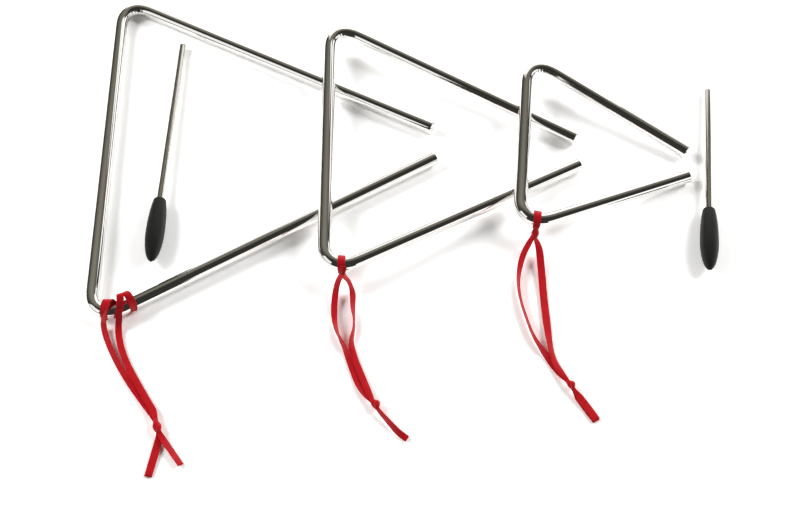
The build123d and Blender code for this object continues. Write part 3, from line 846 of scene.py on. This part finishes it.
# Table and studio: a plain white table in a dim room. Upright white panels stand behind it, low behind it
# to the right, low to the right and to the left, and are what the chrome reflects. A lamp high at each end
# lights the table and throws the shadows. The table is seen, and mirrored, whiter than it lights the part.
FLOOR_Z = -0.0002
FLOOR_HALF = 1.3
TABLE_WHITE = (0.94, 0.94, 0.94, 1)
TABLE_SEEN = (1.42, 1.42, 1.42, 1)
FRONT_DIM = (0.037, 0.036, 0.032, 1)
BEHIND = (
    (0.0, (0.031, 0.03, 0.025, 1)),
    (0.3, (0.055, 0.052, 0.043, 1)),
    (0.6, (0.142, 0.133, 0.11, 1)),
    (0.85, (0.255, 0.24, 0.2, 1)),
    (1.0, (0.21, 0.198, 0.165, 1)),
)
BEHIND_FROM = 0.08
BEHIND_FULL = 0.54
LAMP_ASIDE = 1.15
LAMP_BACK = 0.4
LAMP_UP = 0.8
LAMP_AIM = (0.05, -0.03, 0)
LAMP_SIZE = 0.65
LAMP_RADIANCE = 12.5

floor_mesh = bpy.data.meshes.new("table")
corners = [(x * FLOOR_HALF, y * FLOOR_HALF, FLOOR_Z) for x, y in ((-1, -1), (1, -1), (1, 1), (-1, 1))]
floor_mesh.from_pydata(corners, [], [(0, 1, 2, 3)])
floor = bpy.data.objects.new("table", floor_mesh)
scene.collection.objects.link(floor)
paper, tree, shader = new_material("table_white")
shader.inputs["Roughness"].default_value = 0.9
shader.inputs["Specular IOR Level"].default_value = 0.1
rays = node(tree, "ShaderNodeLightPath")
seen = node(tree, "ShaderNodeMath", operation="MAXIMUM")
tree.links.new(rays.outputs["Is Camera Ray"], seen.inputs[0])
tree.links.new(rays.outputs["Is Glossy Ray"], seen.inputs[1])
whiteness = node(tree, "ShaderNodeMix", data_type="RGBA")
whiteness.inputs[6].default_value = TABLE_WHITE
whiteness.inputs[7].default_value = TABLE_SEEN
tree.links.new(seen.outputs["Value"], whiteness.inputs[0])
tree.links.new(whiteness.outputs[2], shader.inputs["Base Color"])
floor_mesh.materials.append(paper)

world = bpy.data.worlds.new("studio")
scene.world = world
world.use_nodes = True
tree = world.node_tree
room = tree.nodes["Background"]
way = node(tree, "ShaderNodeTexCoord")
split = node(tree, "ShaderNodeSeparateXYZ")
tree.links.new(way.outputs["Generated"], split.inputs["Vector"])
heights = node(tree, "ShaderNodeValToRGB")
ramp = heights.color_ramp
ramp.elements.remove(ramp.elements[1])
ramp.elements[0].position, ramp.elements[0].color = BEHIND[0]
for at, colour in BEHIND[1:]:
    ramp.elements.new(at).color = colour
tree.links.new(split.outputs["Z"], heights.inputs["Fac"])
behind = node(tree, "ShaderNodeMapRange")
behind.inputs["From Min"].default_value = BEHIND_FROM
behind.inputs["From Max"].default_value = BEHIND_FULL
tree.links.new(split.outputs["Y"], behind.inputs["Value"])
walls = node(tree, "ShaderNodeMix", data_type="RGBA")
walls.inputs[6].default_value = FRONT_DIM
tree.links.new(behind.outputs["Result"], walls.inputs[0])
tree.links.new(heights.outputs["Color"], walls.inputs[7])
tree.links.new(walls.outputs[2], room.inputs["Color"])
white = node(tree, "ShaderNodeBackground", Strength=1.0)
white.inputs["Color"].default_value = (1, 1, 1, 1)
rays = node(tree, "ShaderNodeLightPath")
mixed = node(tree, "ShaderNodeMixShader")
tree.links.new(rays.outputs["Is Camera Ray"], mixed.inputs["Fac"])
tree.links.new(room.outputs["Background"], mixed.inputs[1])
tree.links.new(white.outputs["Background"], mixed.inputs[2])
tree.links.new(mixed.outputs["Shader"], tree.nodes["World Output"].inputs["Surface"])


def lamp_panel(name, place, aim, width, height, radiance):
    """A rectangular lamp that gives one radiance all over, at a place and turned to face its aim."""
    data = bpy.data.lights.new(name, "AREA")
    data.shape = "RECTANGLE"
    data.size = width
    data.size_y = height
    data.energy = radiance * pi * width * height
    made = bpy.data.objects.new(name, data)
    toward = Vector(aim) - Vector(place)
    made.location = place
    made.rotation_euler = toward.to_track_quat("-Z", "Y").to_euler()
    scene.collection.objects.link(made)
    return made


# Each panel by its distance, its azimuth from straight behind, its lower and upper edges, width and radiance.
for name, away, azimuth, low, high, width, radiance in (
    ("back_panel", 1.0, 4, 0.0, 0.6, 1.12, 1.02),
    ("back_top_panel", 1.0, 9.5, 0.6, 0.9, 0.93, 1.02),
    ("back_right_panel", 0.98, 25, 0.14, 0.47, 1.06, 1.33),
    ("right_panel", 1.0, 103, 0.05, 0.43, 1.79, 1.32),
    ("left_panel", 1.0, -112, 0.13, 0.91, 0.75, 1.01),
):
    middle = (low + high) / 2
    place = (away * sin(radians(azimuth)), away * cos(radians(azimuth)), middle)
    lamp_panel(name, place, (0, 0, middle), width, high - low, radiance)
for name, side in (("left_lamp", -1), ("right_lamp", 1)):
    place = (side * LAMP_ASIDE, LAMP_BACK, LAMP_UP)
    aim = (side * LAMP_AIM[0], *LAMP_AIM[1:])
    lamp = lamp_panel(name, place, aim, LAMP_SIZE, LAMP_SIZE, LAMP_RADIANCE)
    lamp.visible_glossy = False
